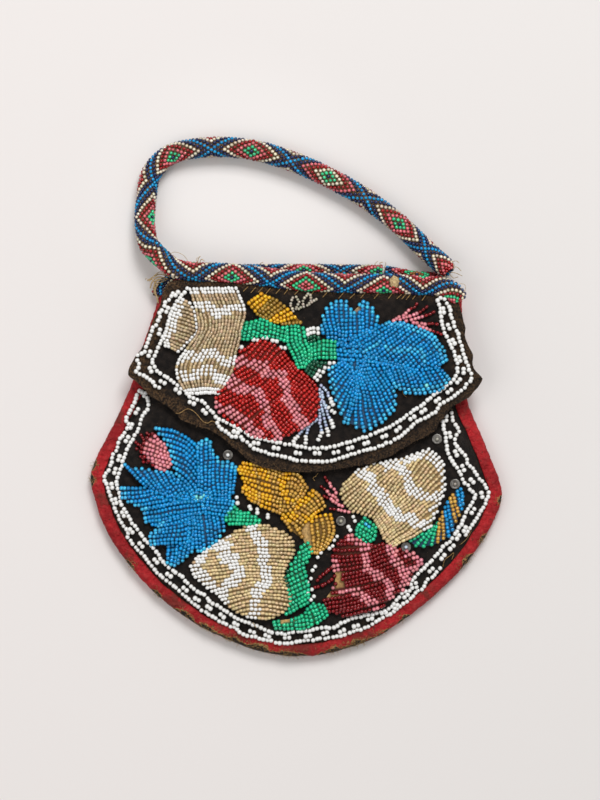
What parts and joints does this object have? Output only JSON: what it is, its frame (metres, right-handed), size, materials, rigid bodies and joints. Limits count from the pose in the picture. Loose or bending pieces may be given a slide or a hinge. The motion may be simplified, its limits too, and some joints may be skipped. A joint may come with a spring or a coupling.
{
  "type": "beaded medicine bag",
  "caption": "Flat velvet pouch with raised glass beadwork on its front and on its flap, silk-bound edges, and a beaded rope along the mouth that runs on into a loop handle.",
  "frame": {"origin": "middle of the bounding box's underside, without the handle", "axes": "the bag lies on its back: +Z out of its front, +Y from the round bottom to the mouth and the handle, +X to the right seen from the front"},
  "size_m": [0.16, 0.2026, 0.0155],
  "materials": {
    "velvet": "worn dark velvet pile",
    "lining_cloth": "plain woven cloth",
    "red_silk": "creased silk",
    "beaded_rope": "blue seed beads in a diamond pattern over a cord",
    "white_beads": "opaque glass",
    "clear_beads": "clear glass on tan thread",
    "gold_beads": "gold and yellow glass",
    "green_beads": "coloured glass",
    "dark_green_beads": "coloured glass",
    "red_beads": "coloured glass",
    "dark_red_beads": "coloured glass",
    "pale_blue_beads": "coloured glass",
    "blue_beads": "coloured glass",
    "pink_beads": "coloured glass",
    "sequin_metal": "tarnished sequin"
  },
  "bodies": {
    "root": {"back_panel": "velvet", "front_panel": "velvet", "flap": "velvet", "back_lining": "lining_cloth", "front_lining": "lining_cloth", "edge_binding": "red_silk", "front_mouth_rope": "beaded_rope", "back_mouth_rope": "beaded_rope", "handle_rope": "beaded_rope", "flap_border_beads": "white_beads", "front_border_beads": "white_beads", "flap_tulip_crown": "clear_beads", "flap_tulip_base": "clear_beads", "flap_tulip_petal": "clear_beads", "flap_stem": "gold_beads", "flap_calyx_arm": "green_beads", "flap_calyx_heart": "green_beads", "flap_calyx_leaf": "green_beads", "flap_calyx_tips": "dark_green_beads", "flap_strawberry": "red_beads", "flap_stamens": "pale_blue_beads", "flap_leaf_top_lobe": "blue_beads", "flap_leaf_heart": "blue_beads", "flap_leaf_right_lobe": "blue_beads", "flap_leaf_right_tip": "blue_beads", "flap_leaf_low_lobe": "blue_beads", "flap_leaf_bottom_lobe": "blue_beads", "flap_thistle": "pink_beads", "leaf_upper_lobe": "blue_beads", "leaf_crown_lobe": "blue_beads", "leaf_right_lobe": "blue_beads", "leaf_foot_lobe": "blue_beads", "leaf_shoulder_lobe": "blue_beads", "leaf_left_lobe": "blue_beads", "leaf_lower_lobe": "blue_beads", "leaf_low_tip": "blue_beads", "bud": "pink_beads", "gold_leaf_top": "gold_beads", "gold_leaf_middle": "gold_beads", "gold_leaf_shoulder": "gold_beads", "gold_leaf_foot": "gold_beads", "left_berry": "clear_beads", "left_berry_cap": "clear_beads", "small_leaf": "green_beads", "green_stem": "green_beads", "green_leaf": "green_beads", "right_berry": "clear_beads", "right_berry_cap": "clear_beads", "red_berry": "dark_red_beads", "red_berry_tip": "dark_red_beads", "berry_leaf": "green_beads", "striped_stem": "gold_beads", "striped_stem_tip": "green_beads", "sequin_1": "sequin_metal", "sequin_2": "sequin_metal", "sequin_3": "sequin_metal", "sequin_4": "sequin_metal", "sequin_5": "sequin_metal"}
  },
  "joints": []
}
